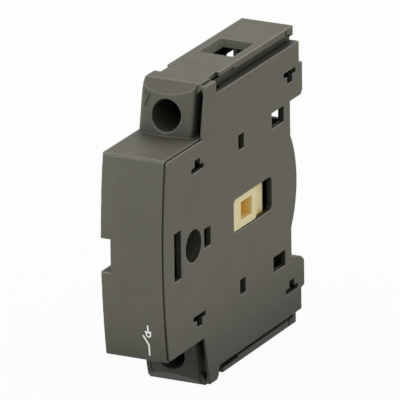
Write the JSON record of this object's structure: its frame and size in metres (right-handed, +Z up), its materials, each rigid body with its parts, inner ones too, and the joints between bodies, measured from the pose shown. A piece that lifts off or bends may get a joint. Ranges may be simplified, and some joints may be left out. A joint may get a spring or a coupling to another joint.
{
  "type": "additional switch pole",
  "caption": "Slim add-on pole for a modular load switch: rail-mounted housing with screw clamps and a sliding drive that moves a bridging contact.",
  "frame": {"origin": "middle of the rail seat, at mid width and mid height", "axes": "+X to the right side with the coupling windows, +Y back towards the rail, +Z up"},
  "size_m": [0.0174, 0.0659, 0.0676],
  "materials": {
    "housing_plastic": "dark warm grey moulded thermoplastic with a fine matt texture",
    "slider_plastic": "cream moulded thermoplastic, slightly glossy",
    "copper": "bare copper strip",
    "silver": "silver facing",
    "spring_steel": "bright spring steel",
    "plate_steel": "plated sheet steel",
    "clamp_steel": "zinc plated steel with a yellowish passivation",
    "screw_steel": "zinc plated steel"
  },
  "bodies": {
    "housing": {"base_shell": "housing_plastic", "side_cover": "housing_plastic", "upper_fixed_contact": "copper", "lower_fixed_contact": "copper", "upper_silver_facing": "silver", "lower_silver_facing": "silver", "upper_arc_plate_1": "plate_steel", "upper_arc_plate_2": "plate_steel", "upper_arc_plate_3": "plate_steel", "upper_arc_plate_4": "plate_steel", "lower_arc_plate_1": "plate_steel", "lower_arc_plate_2": "plate_steel", "lower_arc_plate_3": "plate_steel", "lower_arc_plate_4": "plate_steel"},
    "drive": {"drive_slider": "slider_plastic", "left_contact_bar": "copper", "right_contact_bar": "copper", "left_bar_spring": "spring_steel", "right_bar_spring": "spring_steel"},
    "upper_clamp": {"upper_terminal_cage": "clamp_steel"},
    "lower_clamp": {"lower_terminal_cage": "clamp_steel"},
    "upper_screw": {"upper_terminal_screw": "screw_steel"},
    "lower_screw": {"lower_terminal_screw": "screw_steel"}
  },
  "joints": [
    {"name": "drive_slide", "type": "slide", "parent": "housing", "child": "drive", "axis": [0, 1, 0], "range_m": [0, 0.006]},
    {"name": "upper_clamp_slide", "type": "slide", "parent": "housing", "child": "upper_clamp", "axis": [0, -1, 0], "range_m": [0, 0.006]},
    {"name": "lower_clamp_slide", "type": "slide", "parent": "housing", "child": "lower_clamp", "axis": [0, -1, 0], "range_m": [0, 0.006]},
    {"name": "upper_screw_turn", "type": "hinge", "parent": "housing", "child": "upper_screw", "pos_m": [-0.0004, -0.03, 0.0268], "axis": [0, 1, 0], "range_deg": [0, 2700]},
    {"name": "lower_screw_turn", "type": "hinge", "parent": "housing", "child": "lower_screw", "pos_m": [-0.0004, -0.03, -0.0268], "axis": [0, 1, 0], "range_deg": [0, 2700]}
  ],
  "couplings": [
    {"joint": "upper_screw_turn", "follows": "upper_clamp_slide", "rad_per_m": 7853},
    {"joint": "lower_screw_turn", "follows": "lower_clamp_slide", "rad_per_m": 7853}
  ]
}
